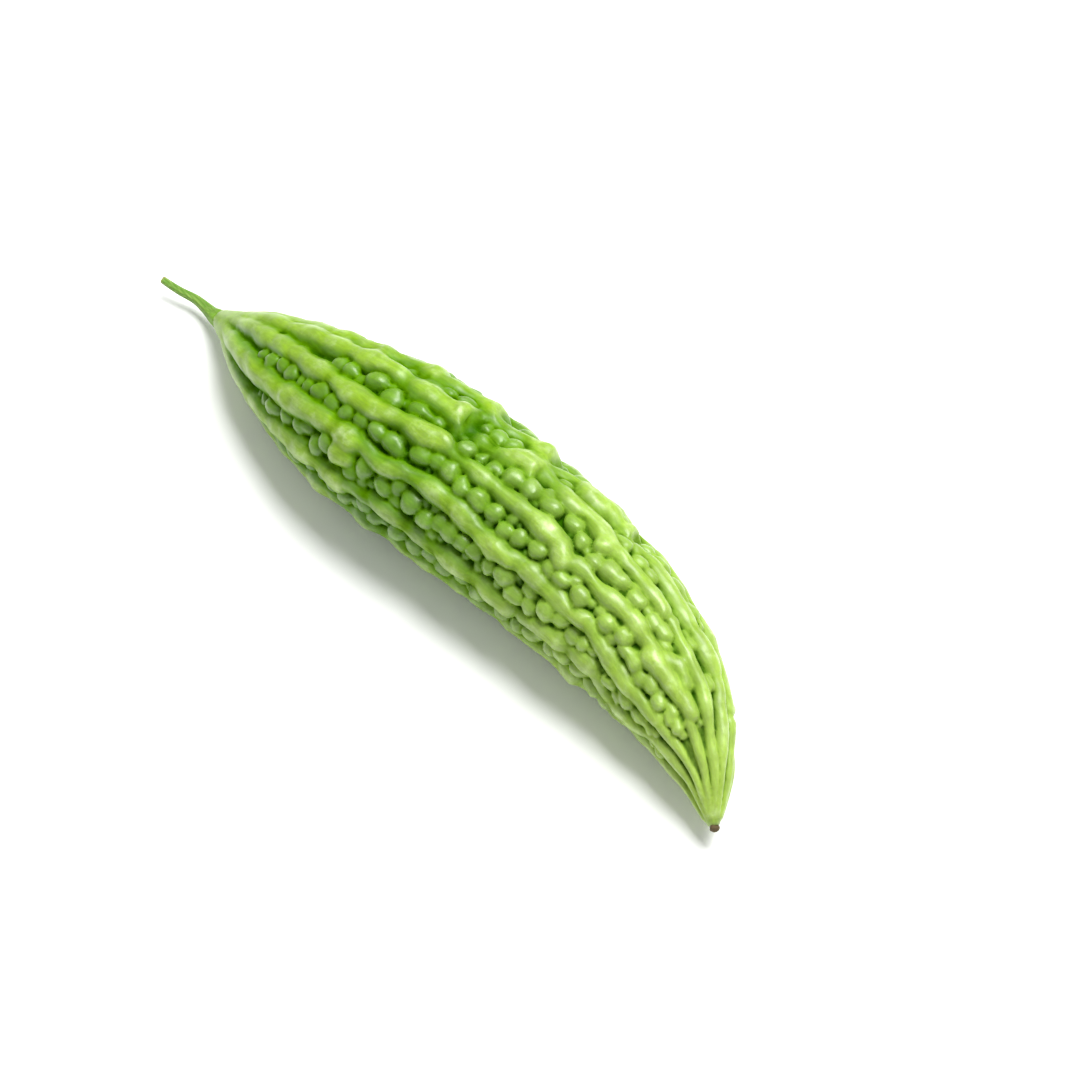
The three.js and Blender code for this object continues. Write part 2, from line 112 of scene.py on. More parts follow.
# Ridges of the ribs that show: how full each is at its start and at its end, how broad it is for
# its height, and (s, angle) along its crest
SHOWN_RIDGES = (
    (1.0, 1.1, 1.4, ((4, 42), (20, 50), (45, 54), (70, 57))),
    (0.85, 1.25, 1.3, ((73, 55), (80, 49), (88, 48))),
    (0.9, 1.3, 1.25, ((92, 51), (98, 45), (108, 44))),
    (0.8, 1.25, 1.3, ((112, 53), (119, 46), (129, 46))),
    (0.75, 1.25, 1.1, ((132, 54), (137, 47), (146, 50), (151, 44))),
    (0.9, 1.3, 1.1, ((155, 43), (160, 42))),
    (0.8, 1.05, 1.0, ((164, 53), (170, 47), (186, 49), (201, 43))),
    (1.0, 1.0, 1.0, ((204, 43), (213, 49), (222, 57), (233, 60))),
    (1.1, 1.2, 0.97, ((3, 68), (20, 73), (46, 75), (63, 75), (81, 74))),
    (0.75, 1.35, 1.35, ((84, 74), (95, 75), (104, 73))),
    (0.75, 1.25, 1.25, ((113, 78), (120, 77), (126, 70), (131, 70))),
    (0.8, 1.15, 1.1, ((133, 66), (145, 71), (152, 68), (158, 71), (160, 78))),
    (0.8, 1.0, 1.0, ((162, 73), (172, 71), (183, 72))),
    (0.8, 0.95, 1.0, ((187, 68), (197, 72), (208, 73), (217, 76), (226, 77), (233, 80))),
    (1.0, 1.1, 1.05, ((3, 92), (23, 98), (44, 101), (63, 104), (82, 108), (96, 104), (105, 101))),
    (0.8, 1.05, 1.0, ((108, 102), (120, 102), (134, 102), (150, 102))),
    (1.1, 1.1, 1.0, ((153, 107), (155, 110))),
    (0.8, 1.0, 1.0, ((159, 104), (170, 106), (181, 102), (191, 102))),
    (1.05, 1.1, 1.0, ((193, 107), (200, 104), (206, 100), (210, 97))),
    (0.85, 0.85, 1.0, ((193, 104), (195, 94), (199, 86), (203, 87))),
    (0.8, 0.9, 1.0, ((212, 104), (218, 100), (226, 101), (233, 100))),
    (1.0, 1.1, 1.2, ((3, 130), (18, 139), (42, 140), (59, 137), (75, 134), (82, 136))),
    (1.15, 1.15, 0.8, ((81, 150), (84, 150))),
    (0.85, 1.05, 1.1, ((86, 134), (93, 138), (104, 132), (121, 132), (130, 136), (137, 137))),
    (1.0, 1.0, 1.0, ((141, 136), (143, 136))),
    (0.85, 1.0, 1.0, ((147, 134), (159, 136), (170, 135))),
    (0.85, 1.0, 1.0, ((172, 133), (182, 138), (190, 144), (203, 144), (207, 141))),
    (0.8, 0.9, 1.0, ((209, 142), (215, 136), (223, 126), (233, 120))),
    (1.0, 1.1, 1.15, ((4, 165), (27, 178), (44, 178), (62, 171), (82, 171))),
    (0.85, 1.05, 1.1, ((87, 169), (99, 167), (111, 170), (126, 171), (148, 174))),
    (0.9, 1.05, 1.0, ((154, 173), (162, 166), (168, 164))),
    (0.85, 1.0, 1.0, ((171, 164), (182, 162))),
    (0.85, 1.0, 1.0, ((185, 166), (190, 178), (199, 182), (206, 178))),
    (0.8, 0.9, 1.0, ((208, 174), (214, 163), (224, 150), (233, 144))),
    (1.0, 1.1, 1.15, ((4, 196), (25, 207), (60, 204), (78, 200))),
    (0.85, 1.05, 1.1, ((82, 202), (100, 199), (128, 202))),
    (0.85, 1.05, 1.0, ((131, 200), (150, 204), (176, 197))),
    (0.85, 1.0, 1.0, ((179, 203), (195, 210), (212, 198), (233, 180))),
)
# Ribs underneath and on the far side: angle of the rib, angle at the tip
FAR_RIBS = ((226, 212), (254, 247), (286, 281), (317, 316), (348, 351), (18, 25))
FAR_SEED = 4409
# Their first s, and distances from the tip: where they end, where the last ridge may start, what a
# ridge has to come within to run on to the end, and where a rib starts to turn to its angle at the
# tip
FAR_START = 4
FAR_END, FAR_LAST_START, FAR_RUN_ON, FAR_TURN = 2, 20, 25, 50
# Lengths of their ridges, the gap between two, and the distance between points along one
FAR_SHORTEST, FAR_LONGEST, FAR_GAP, FAR_STEP = 26, 54, 3.5, 8
# How far, in degrees, a point and a whole ridge stray from the rib
FAR_WANDER, FAR_OFFSET = 4, 5
# How full such a ridge is at its start and at its end, and how broad
FAR_FULL = (0.88, 1.05, 1.1)
# Swells of a rib along its crest: radians per mm, radians from one ridge to the next, share of its
# width, share of its height. They start at s, reach their full size over a length, and are never
# smaller than a share of it.
ROPE_WAVES = ((0.27, 1.7, 0.10, 0.07), (0.49, 2.9, 0.09, 0.05))
SWELL_START, SWELL_LENGTH, SWELL_LEAST = 30, 45, 0.15
# Distance between the balls that a ridge is made of, for keeping warts clear of it and for its own
# form
COARSE_STEP = 4.0
FINE_STEP = 1.6
# The ribs grow slimmer towards the tip, so that grooves are left between them: from and to s, share
# of the width
SLIMMING, TIP_SHARE = (203, 224), 0.72
# How softly a rib rises from the flesh: s, width of the blend
RIB_BLEND = (
    (0, 0.4), (30, 1.2), (60, 1.7), (150, 1.6), (185, 1.1), (205, 0.6), (220, 0.35), (235, 0.2),
)
LEAST_BLEND = 0.1
# Ridges of the upper flank that end in a steep face: their places in SHOWN_RIDGES, how far past the
# last ball in radii, lean of the face in degrees, rounding of its edges, and how many times more
# softly they rise
BLOCKS = (1, 2, 3, 5, 9, 10)
BLOCK_END, BLOCK_LEAN, BLOCK_EDGE, BLOCK_FLARE = 0.45, 32, 1.8, 2.0

WART_SEED = 20011
WART_START, WART_END = 15, 214
# Passes of darts, each of which may leave a wart: number of darts, smallest and largest radius
WART_PASSES = ((9000, 2.5, 3.3), (9000, 1.9, 2.5), (10000, 1.3, 1.9), (14000, 0.8, 1.3))
# Share of these radii at s
WART_SHARE = (
    (16, 0.45), (30, 0.72), (55, 0.9), (105, 1.0), (165, 0.93), (195, 0.78), (212, 0.55), (235, 0.4),
)
# While it finds its room, in its radii: how far its centre is over the flesh, how close two warts
# may come as a share of the sum of their radii, and how deep it may sink into a rib
WART_LIFT, WART_SPACING, WART_SINK = 0.5, 0.86, 0.58
# A wart's final form, in its radii: how far its centre stands over the flesh, and its radius
WART_STAND, WART_FULL = 0.28, 1.1
# Half the length of a wart's straight middle along the gourd at s, as a share of its radius
WART_OVAL = ((0, 0.1), (140, 0.12), (185, 0.35), (215, 0.6), (235, 0.6))
# Only ridges this near in s are tried, values along s are looked up this finely, and room is kept
# for this many
RIDGE_REACH, STATIONS_PER_MM, MOST_BALLS = 15, 4, 20000
# A second lobe: share of the warts that try one, its distance and its radii in the wart's radii,
# the width of the blend between them, and the wart's radius from which the blend is full
LOBED_SHARE = 0.4
LOBE_STEP = 1.25
LOBE_RADIUS = (0.6, 0.95)
LOBE_BLEND, LOBE_BLEND_FULL = 0.9, 2
# Small swellings on the sides of a wart: how many, on warts of what radius and up to what s, and in
# the wart's radii their own radius, their distance and their height
BUD_SEED = 515
BUDS, BUD_LEAST, BUD_END = 2, 1.3, 165
BUD_RADIUS = (0.42, 0.7)
BUD_OFF, BUD_RAISE = 0.62, 0.32
WART_BLEND = 0.35

# The grid of distances: its corners, the side of a cell, and a distance that is past every blend
GRID_LOW = np.array((-2.0, -32.0, -32.0))
GRID_HIGH = np.array((237.0, 32.0, 32.0))
PITCH = 0.5
FAR_OFF = 9.0
FACES = 192000
# Unevenness of growth: how far the skin wanders and over what length, and the stretch at each end
# where it calms
GROWTH = ((0.75, 7.0), (0.24, 2.6), (0.05, 1.1))
GROWTH_SEED = 71
GROWTH_CALM = 40
# For the material: distance over which a rib's colour (partly painted light) fades, greatest height
# in rises of a rib, depth that counts as a full crevice, and rounds of smoothing it
ROPE_FADE = 0.8
MOST_HEIGHT = 1.5
CREVICE_DEPTH, CREVICE_SPREADS = 0.16, 4


def along(table, column, s):
    """One column of a table at s: a cubic through its rows, with slopes from their neighbours."""
    rows = np.array([[row[0], row[column]] for row in table], float)
    x, y = rows[:, 0], rows[:, 1]
    slope = np.empty(len(x))
    slope[1:-1] = (y[2:] - y[:-2]) / (x[2:] - x[:-2])
    slope[0] = (y[1] - y[0]) / (x[1] - x[0])
    slope[-1] = (y[-1] - y[-2]) / (x[-1] - x[-2])
    i = np.clip(np.searchsorted(x, s) - 1, 0, len(x) - 2)
    step = x[i + 1] - x[i]
    t = (s - x[i]) / step
    rise = y[i + 1] - y[i]
    start = slope[i] * step - rise
    end = rise - slope[i + 1] * step
    return y[i] + t * rise + t * (1 - t) * ((1 - t) * start + t * end)


def flesh_radius(s):
    return along(SPINE, CREST, s) - along(RIB_SIZE, RISE, s)


def straight(s, angle, radius):
    """A place on the straight gourd as x, y, z."""
    turn = np.radians(angle)
    return np.stack(np.broadcast_arrays(s, radius * np.cos(turn), radius * np.sin(turn)), -1)


def spine_frame(s):
    """Centre, side and up of the spine at s."""
    def centre(at):
        bow = along(SPINE, BOW, at) - ORIGIN_BOW
        return np.stack([at - ORIGIN_S, bow, along(SPINE, HEIGHT, at)], -1)

    tangent = centre(s + TANGENT_STEP) - centre(s - TANGENT_STEP)
    tangent /= np.linalg.norm(tangent, axis=-1, keepdims=True)
    side = np.stack([-tangent[..., 1], tangent[..., 0], np.zeros_like(s)], -1)
    side /= np.linalg.norm(side, axis=-1, keepdims=True)
    return centre(s), side, np.cross(tangent, side)


def bend(points):
    """Bends points of the straight gourd along the spine."""
    centre, side, up = spine_frame(points[:, 0])
    return centre + points[:, 1:2] * side + points[:, 2:3] * up


def dice(seed):
    """The minimal standard generator, which gives the same draws on every run."""
    state = seed
    while True:
        state = state * 16807 % 2147483647
        yield state / 2147483647


def far_ridges(angle, tip_angle, draw):
    """The broken ridges of a rib that the eye sees less."""
    start = FAR_START
    while start < LENGTH - FAR_LAST_START:
        length = FAR_SHORTEST + (FAR_LONGEST - FAR_SHORTEST) * next(draw)
        offset = FAR_OFFSET * (next(draw) - 0.5)
        end = LENGTH - FAR_END if start + length > LENGTH - FAR_RUN_ON else start + length
        stops = max(2, int(math.floor((end - start) / FAR_STEP + 0.5)))
        route = []
        for i in range(stops + 1):
            s = start + (end - start) * i / stops
            t = min(max((s - (LENGTH - FAR_TURN)) / FAR_TURN, 0), 1)
            turned = (tip_angle - angle) * t * t * (3 - 2 * t)
            route.append((s, angle + turned + offset + FAR_WANDER * (next(draw) - 0.5)))
        yield (*FAR_FULL, tuple(route))
        start = end + FAR_GAP


def beads(ridge, number, step, tip_share=1):
    """A ridge as a row of balls along its crest: their places s, radii and centres."""
    full_start, full_end, broad, route = ridge
    first, last = route[0], route[-1]
    turn = math.radians(last[1] - first[1]) * flesh_radius(np.array((first[0] + last[0]) / 2))
    pieces = max(1, math.ceil(math.hypot(last[0] - first[0], float(turn)) / step))
    s = np.linspace(first[0], last[0], pieces + 1)
    angle = along(route, 1, s)
    full = full_start + (full_end - full_start) * (s - first[0]) / max(last[0] - first[0], 1)
    wide, high = broad * full, full.copy()
    swell = np.clip((s - SWELL_START) / SWELL_LENGTH, SWELL_LEAST, 1)
    for rate, phase, wide_share, high_share in ROPE_WAVES:
        wave = np.sin(rate * s + phase * number) * swell
        wide *= 1 + wide_share * wave
        high *= 1 + high_share * wave
    radius = along(RIB_SIZE, HALF_WIDTH, s) * wide * np.interp(s, SLIMMING, (1, tip_share))
    crest = flesh_radius(s) + along(RIB_SIZE, RISE, s) * high
    return s, radius, straight(s, angle, crest - radius)


far_draw = dice(FAR_SEED)
ridges = list(SHOWN_RIDGES)
for rib_angle, rib_tip_angle in FAR_RIBS:
    ridges += far_ridges(rib_angle, rib_tip_angle, far_draw)
coarse = [beads(ridge, number, COARSE_STEP) for number, ridge in enumerate(ridges)]
fine = [beads(ridge, number, FINE_STEP, TIP_SHARE) for number, ridge in enumerate(ridges)]


def bar_distance(points, a, b, radius_a, radius_b):
    """Distance from points to rounded bars between two balls."""
    bar = b - a
    length = np.maximum((bar * bar).sum(-1), 1e-9)
    t = np.clip(((points - a) * bar).sum(-1) / length, 0, 1)
    gap = points - a - t[..., None] * bar
    return np.sqrt((gap * gap).sum(-1)) - (radius_a + (radius_b - radius_a) * t)


bar_a = np.concatenate([centres[:-1] for _, _, centres in coarse])
bar_b = np.concatenate([centres[1:] for _, _, centres in coarse])
bar_radius_a = np.concatenate([radius[:-1] for _, radius, _ in coarse])
bar_radius_b = np.concatenate([radius[1:] for _, radius, _ in coarse])


def grow_warts():
    """Warts thrown at random, the large ones first. Each swells until it meets a rib or another
    wart, and is kept if it grew large enough. Some then grow a second lobe. A wart is a list of
    (centre, radius)."""
    draw = dice(WART_SEED)
    stations = np.linspace(0, LENGTH, STATIONS_PER_MM * LENGTH + 1)
    flesh_at = flesh_radius(stations)
    share_at = along(WART_SHARE, 1, stations)
    slices = [np.flatnonzero(np.abs(bar_a[:, 0] - s) < RIDGE_REACH) for s in range(LENGTH + 1)]
    balls = np.zeros((MOST_BALLS, 4))
    count = 0
    kept = []

    def place(s, angle, radius):
        return straight(s, angle, np.interp(s, stations, flesh_at) + radius * WART_LIFT)

    def room(s, centre, skip=0):
        near = slices[int(round(s))]
        bars = bar_a[near], bar_b[near], bar_radius_a[near], bar_radius_b[near]
        ropes = bar_distance(centre, *bars)
        free = ropes.min(initial=FAR_OFF) / (1 - WART_SINK)
        others = balls[:count - skip]
        if len(others):
            apart = np.sqrt(((others[:, :3] - centre) ** 2).sum(1))
            free = min(free, (apart / WART_SPACING - others[:, 3]).min())
        return free

    for darts, smallest, largest in WART_PASSES:
        for _ in range(darts):
            s = WART_START + (WART_END - WART_START) * next(draw)
            angle = 360 * next(draw)
            size, bud, lean, lobe_size = next(draw), next(draw), next(draw), next(draw)
            share = np.interp(s, stations, share_at)
            wish = (smallest + (largest - smallest) * size) * share
            centre = place(s, angle, wish)
            radius = min(wish, room(s, centre))
            if radius < smallest * share:
                continue
            centre = place(s, angle, radius)
            wart = [(centre, radius)]
            balls[count] = (*centre, radius)
            count += 1
            if bud < LOBED_SHARE:
                low, high = LOBE_RADIUS
                wish = radius * (low + (high - low) * lobe_size)
                step = LOBE_STEP * radius
                turn = 2 * math.pi * lean
                lobe_s = s + step * math.cos(turn)
                around = step * math.sin(turn)
                lobe_angle = angle + math.degrees(around / np.interp(s, stations, flesh_at))
                centre = place(lobe_s, lobe_angle, wish)
                lobe = min(wish, room(lobe_s, centre, 1))
                if lobe > radius * low:
                    wart.append((place(lobe_s, lobe_angle, lobe), lobe))
                    balls[count] = (*wart[-1][0], lobe)
                    count += 1
            kept.append(wart)
    return kept


axes = [np.arange(GRID_LOW[i], GRID_HIGH[i], PITCH) for i in range(3)]


def window(low, high):
    """The part of the grid between two corners."""
    start = np.maximum(np.floor((low - GRID_LOW) / PITCH).astype(int), 0)
    stop = np.ceil((high - GRID_LOW) / PITCH).astype(int) + 1
    return tuple(slice(a, b) for a, b in zip(start, stop))


def add_form(field, bars, blend, inner_blend=0, planes=()):
    """Blends a form made of rounded bars, cut by planes, into the field of distances."""
    reach = max(max(ra, rb) for _, _, ra, rb in bars) + float(np.max(blend)) + PITCH
    ends = np.array([end for a, b, _, _ in bars for end in (a, b)])
    whole = window(ends.min(0) - reach, ends.max(0) + reach)
    block = field[whole]
    form = np.full(block.shape, FAR_OFF, np.float32)
    for a, b, radius_a, radius_b in bars:
        part = window(np.minimum(a, b) - reach, np.maximum(a, b) + reach)
        local = tuple(slice(p.start - w.start, p.stop - w.start) for p, w in zip(part, whole))
        grid = np.meshgrid(*(axis[p] for axis, p in zip(axes, part)), indexing="ij")
        distance = bar_distance(np.stack(grid, -1), a, b, radius_a, radius_b)
        form[local] = smooth_min(form[local], distance, inner_blend)
    for place, normal in planes:
        grid = np.meshgrid(*(axis[w] for axis, w in zip(axes, whole)), indexing="ij")
        form = -smooth_min(-form, -((np.stack(grid, -1) - place) @ normal), BLOCK_EDGE)
    if np.ndim(blend):
        blend = blend[whole[0]][:, None, None]
    field[whole] = smooth_min(block, form, blend)


def smooth_min(a, b, blend):
    """The smaller of two distances, rounded where they meet."""
    if np.ndim(blend) == 0 and blend == 0:
        return np.minimum(a, b)
    h = np.maximum(blend - np.abs(a - b), 0) / blend
    return np.minimum(a, b) - h * h * blend / 4


def block_face(radius, centres):
    """The steep face that ends a ridge of the upper flank, as a place on it and its normal."""
    last = centres[-1]
    out = np.array([0, *last[1:]]) / np.hypot(*last[1:])
    ahead = np.array([1.0, 0, 0])
    lean = math.radians(BLOCK_LEAN)
    return last + BLOCK_END * radius[-1] * ahead, math.cos(lean) * ahead + math.sin(lean) * out


def relief():
    """Distances to the skin of the straight gourd on a grid, and distances to the ropes alone."""
    s = axes[0]
    steepness = flesh_radius(s + 0.5) - flesh_radius(s - 0.5)
    from_axis = np.hypot(axes[1][:, None], axes[2][None, :])
    field = from_axis[None] - flesh_radius(s)[:, None, None]
    field = (field / np.hypot(1, steepness)[:, None, None]).astype(np.float32)
    rope_field = np.full(field.shape, FAR_OFF, np.float32)
    rib_blend = np.maximum(along(RIB_BLEND, 1, s), LEAST_BLEND)
    for number, (_, radius, centres) in enumerate(fine):
        bars = list(zip(centres[:-1], centres[1:], radius[:-1], radius[1:]))
        planes = [block_face(radius, centres)] if number in BLOCKS else []
        add_form(field, bars, rib_blend * (BLOCK_FLARE if planes else 1), 0, planes)
        add_form(rope_field, bars, rib_blend)
    draw = dice(BUD_SEED)
    for wart in grow_warts():
        bars = []
        for centre, radius in wart:
            out = np.array([0, *centre[1:]]) / np.hypot(*centre[1:])
            around = np.array([0, -out[2], out[1]])
            middle = centre - (WART_LIFT - WART_STAND) * radius * out
            half = np.array([radius * float(along(WART_OVAL, 1, centre[0])), 0, 0])
            bars.append((middle - half, middle + half, radius * WART_FULL, radius * WART_FULL))
            for _ in range(BUDS if radius > BUD_LEAST and centre[0] < BUD_END else 0):
                lean = 2 * math.pi * next(draw)
                bud = radius * (BUD_RADIUS[0] + (BUD_RADIUS[1] - BUD_RADIUS[0]) * next(draw))
                aside = np.array([math.cos(lean), 0, 0]) + math.sin(lean) * around
                place = middle + BUD_OFF * radius * aside + BUD_RAISE * radius * out
                bars.append((place, place, bud, bud))
        add_form(field, bars, WART_BLEND, LOBE_BLEND * min(1, wart[0][1] / LOBE_BLEND_FULL))
    ends = np.maximum(-s, s - LENGTH)[:, None, None]
    return np.maximum(field, ends), rope_field


def surface_net(field):
    """The skin of a field of distances: one point in each cell that it passes through, and quads."""
    inside = field < 0
    counts = sum(
        inside[i:i - 1 or None, j:j - 1 or None, k:k - 1 or None].astype(np.int8)
        for i in (0, 1) for j in (0, 1) for k in (0, 1)
    )
    cells = np.argwhere((counts > 0) & (counts < 8))
    number = np.full(counts.shape, -1, np.int64)
    number[tuple(cells.T)] = np.arange(len(cells))
    total = np.zeros((len(cells), 3))
    hits = np.zeros(len(cells))
    for axis in range(3):
        others = [i for i in range(3) if i != axis]
        for corner in ((0, 0), (0, 1), (1, 0), (1, 1)):
            start = np.zeros(3, int)
            start[others] = corner
            end = start.copy()
            end[axis] = 1
            value_a = field[tuple((cells + start).T)]
            value_b = field[tuple((cells + end).T)]
            crossing = (value_a < 0) != (value_b < 0)
            t = np.where(crossing, value_a / np.where(crossing, value_a - value_b, 1), 0)
            point = np.tile(start.astype(float), (len(cells), 1))
            point[:, axis] = t
            total[crossing] += point[crossing]
            hits += crossing
    points = (cells + total / hits[:, None]) * PITCH + GRID_LOW
    quads = []
    for axis in range(3):
        u, v = (axis + 1) % 3, (axis + 2) % 3
        lower = np.take(inside, range(inside.shape[axis] - 1), axis)
        upper = np.take(inside, range(1, inside.shape[axis]), axis)
        edges = np.argwhere(lower != upper)
        outward = lower[tuple(edges.T)]
        ring = []
        for du, dv in ((-1, -1), (0, -1), (0, 0), (-1, 0)):
            cell = edges.copy()
            cell[:, u] += du
            cell[:, v] += dv
            ring.append(number[tuple(cell.T)])
        ring = np.stack(ring, -1)
        quads.append(np.where(outward[:, None], ring, ring[:, ::-1]))
    return points, np.concatenate(quads)


def mesh_object(name, points, faces):
    """A smooth-shaded mesh object from points in metres."""
    mesh = bpy.data.meshes.new(name)
    mesh.from_pydata([tuple(p) for p in points], [], [tuple(f) for f in faces])
    mesh.shade_smooth()
    obj = bpy.data.objects.new(name, mesh)
    bpy.context.scene.collection.objects.link(obj)
    return obj


def applied(obj):
    """Replaces an object's mesh by the result of its modifiers."""
    graph = bpy.context.evaluated_depsgraph_get()
    mesh = bpy.data.meshes.new_from_object(obj.evaluated_get(graph))
    obj.modifiers.clear()
    obj.data = mesh
    return obj


skin_field, rope_field = relief()
net_points, net_quads = surface_net(skin_field)
fruit = mesh_object("fruit_skin", net_points, net_quads)
thin = fruit.modifiers.new("thin", "DECIMATE")
thin.ratio = min(1, FACES / (2 * len(net_quads)))
applied(fruit)
fruit.data.shade_smooth()

flat = np.empty(len(fruit.data.vertices) * 3, np.float32)
fruit.data.vertices.foreach_get("co", flat)
skin = flat.reshape(-1, 3).astype(float)
skin_s = np.clip(skin[:, 0], 0, LENGTH)
skin_height = np.hypot(skin[:, 1], skin[:, 2]) - flesh_radius(skin_s)
skin_height /= along(RIB_SIZE, RISE, skin_s)
nearest = np.rint((skin - GRID_LOW) / PITCH).astype(int)
skin_rope = 1 - np.clip(rope_field[tuple(nearest.T)] / ROPE_FADE, 0, 1)
grown = skin.copy()
calm = np.clip(np.minimum(skin_s, LENGTH - skin_s) / GROWTH_CALM, 0, 1)[:, None]
noise.seed_set(GROWTH_SEED)
for wander, span in GROWTH:
    skin += wander * calm * np.array([noise.noise_vector(Vector(point) / span) for point in grown])
placed = bend(skin)
placed[:, 2] = np.maximum(placed[:, 2], 0)
fruit.data.vertices.foreach_set("co", (placed * MM).astype(np.float32).ravel())

# What the material needs to know of each point: its height over the flesh, how much of a rib it is,
# how far along the gourd it is, where it was before the growth and the bend, and how deep in a
# crevice it is
marks = {
    "height": np.clip(skin_height, 0, MOST_HEIGHT),
    "rope": skin_rope,
    "along": skin_s / LENGTH,
}
for label, values in marks.items():
    attribute = fruit.data.attributes.new(label, "FLOAT", "POINT")
    attribute.data.foreach_set("value", values.astype(np.float32))
attribute = fruit.data.attributes.new("grown", "FLOAT_VECTOR", "POINT")
attribute.data.foreach_set("vector", grown.astype(np.float32).ravel())
edges = np.empty(len(fruit.data.edges) * 2, np.int32)
fruit.data.edges.foreach_get("vertices", edges)
edges = edges.reshape(-1, 2)
normals = np.empty(len(skin) * 3, np.float32)
fruit.data.update()
fruit.data.vertices.foreach_get("normal", normals)
normals = normals.reshape(-1, 3)
touching = np.bincount(edges.ravel(), minlength=len(skin))


def spread(values):
    """Means of each point's neighbours."""
    total = np.zeros_like(values)
    np.add.at(total, edges[:, 0], values[edges[:, 1]])
    np.add.at(total, edges[:, 1], values[edges[:, 0]])
    return total / touching.reshape(-1, *[1] * (values.ndim - 1))


# How far the neighbours of a point stand over it: more than 0 in a crevice and less on a crest
hollow = ((spread(placed) - placed) * normals).sum(1)
for _ in range(CREVICE_SPREADS):
    hollow = (hollow + spread(hollow)) / 2
crevice = fruit.data.attributes.new("crevice", "FLOAT", "POINT")
crevice.data.foreach_set("value", np.clip(hollow / CREVICE_DEPTH, -1, 1).astype(np.float32))


def linear(code):
    """A colour from its sRGB hex value, as the linear values that a shader takes."""
    values = [int(code[i:i + 2], 16) / 255 for i in (1, 3, 5)]
    return tuple(v / 12.92 if v <= 0.04045 else ((v + 0.055) / 1.055) ** 2.4 for v in values) + (1,)


def node(tree, kind, settings=(), **inputs):
    """Adds a node with its settings, and sets or links its inputs. An input is named as on the node,
    or by its number after an underscore."""
    made = tree.nodes.new(kind)
    for key, value in dict(settings).items():
        setattr(made, key, value)
    for key, value in inputs.items():
        numbered = key[0] == "_" and key[1:].isdigit()
        socket = made.inputs[int(key[1:]) if numbered else key.replace("_", " ")]
        if isinstance(value, bpy.types.NodeSocket):
            tree.links.new(value, socket)
        else:
            socket.default_value = value
    return made


def new_material(name):
    """An empty node material and its tree."""
    material = bpy.data.materials.new(name)
    material.use_nodes = True
    material.node_tree.nodes.clear()
    return material, material.node_tree


# Waxy cucurbit skin: grown, smooth, thin and a little see-through. Its green is paler on the crests,
# partly its own colour and partly painted light, and deep green in the crevices as painted shade.
# Its wax gives a broad soft shine that the crevices lack.
FURROW_GREEN_AND_SHADE = "#2c5c00"
SKIN_GREEN = "#558200"
TOP_GREEN_AND_LIGHT = "#668f08"
RIB_GREEN_AND_LIGHT = "#7fa224"
PAINTED_CREASE_SHADE_GREEN = "#234c00"
PAINTED_HIGHLIGHT_GREEN = "#cbdfa4"
TIP_GREEN = "#97b34a"
# Sizes of the patterns: clouds in the green, clouds of painted highlight, length and width of the
# fibres under the skin, grain
GROWTH_MOTTLE_MM = 7.0
HIGHLIGHT_CLOUD_MM = 4.5
FIBRE_MM = (9.0, 0.9)
SKIN_GRAIN_MM = 0.9
SKIN_BUMP_MM = 0.18

# Ranges below: input from and to, and where they aren't 0 and 1, output from and to
# Height over the flesh, as a share of a rib's, from the furrow's green to the skin's, and on to
# that of the crests: partly the skin's own tones, partly painted shade low down and painted light on
# top
RAISED = (0.05, 0.65)
TOPPED = (0.7, 1.15)
# Share of the length: the raised parts grow pale in the far half, and all of the skin at the tip
PALER = (0.4, 0.8, 0.0, 0.6)
AT_TIP = (0.84, 0.96, 0.0, 0.75)
# Depth of a crevice, from no painted crease shade to all of it, and the share of the length where
# that painted shade ends
SHADE_IN_CREVICE = (0.0, 0.6)
SHADE_FADE_AT_TIP = (0.95, 0.985, 1.0, 0.1)
# The painted highlight lies in clouds on the tops, less of it where the skin is hollow and near the
# stem
HIGHLIGHT_CLOUDS = (0.42, 0.75, 0.0, 0.55)
HIGHLIGHT_ON_CREST = (-0.5, 0.1, 1.0, 0.2)
HIGHLIGHT_FROM_STEM = (0.08, 0.34, 0.3, 1.0)
# Shading by the clouds in the green and by the fibres
MOTTLE = (0.3, 0.7, 0.88, 1.1)
FIBRE_SHADE = (0.3, 0.7, 0.89, 1.09)
# Wax and gloss, which the crevices lack
WAX = (-0.4, 0.2, 0.95, 0.0)
GLOSS = (-0.2, 0.3, 0.2, 0.0)


def smooth_range(tree, value, low, high, out_low=0.0, out_high=1.0):
    """A value that eases from one number to another while its input goes from low to high."""
    return node(
        tree, "ShaderNodeMapRange", {"interpolation_type": "SMOOTHSTEP"},
        Value=value, From_Min=low, From_Max=high, To_Min=out_low, To_Max=out_high,
    ).outputs["Result"]


def blend(tree, share, first, second):
    """One colour over another."""
    return node(
        tree, "ShaderNodeMix", {"data_type": "RGBA"}, _0=share, _6=first, _7=second,
    ).outputs[2]


def times(tree, first, second):
    """A product."""
    return node(tree, "ShaderNodeMath", {"operation": "MULTIPLY"}, _0=first, _1=second).outputs[0]


